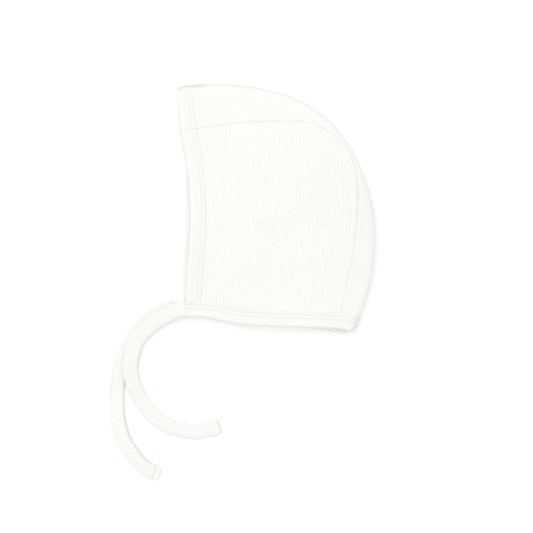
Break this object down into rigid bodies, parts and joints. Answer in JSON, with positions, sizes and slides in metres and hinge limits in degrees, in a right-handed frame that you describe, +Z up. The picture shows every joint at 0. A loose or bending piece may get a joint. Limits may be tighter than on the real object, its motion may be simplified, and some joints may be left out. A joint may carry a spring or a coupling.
{
  "type": "ribbed knit baby bonnet",
  "caption": "Soft rib-knit baby bonnet laid flat on its side, with a face opening, a folded crown strip, folded bindings round the face and neck edges, and two free chin ties.",
  "frame": {"origin": "on the surface that the bonnet lies on, under the middle of the bonnet's box, ties left out", "axes": "+X to the back of the head, +Y to the top of the head, +Z up from the surface, which is to the wearer's left; the face opening is at -X and the neck edge at -Y"},
  "size_m": [0.1869, 0.2786, 0.0244],
  "materials": {
    "rib_knit": "matte one by one rib knit, ivory cotton, ribs running from the neck to the crown",
    "crown_knit": "matte one by one rib knit, ivory cotton, ribs running along the strip from the forehead to the nape",
    "binding_knit": "matte folded rib knit, ivory cotton, ribs running across its width, two rows of stitches",
    "tie_knit": "matte folded rib knit, ivory cotton, ribs running across its width, stitched along its edges"
  },
  "bodies": {
    "root": {"side_panel_left": "rib_knit", "side_panel_right": "rib_knit", "crown_strip": "crown_knit", "face_binding": "binding_knit", "neck_binding": "binding_knit", "tie_left": "tie_knit", "tie_right": "tie_knit"}
  },
  "joints": []
}
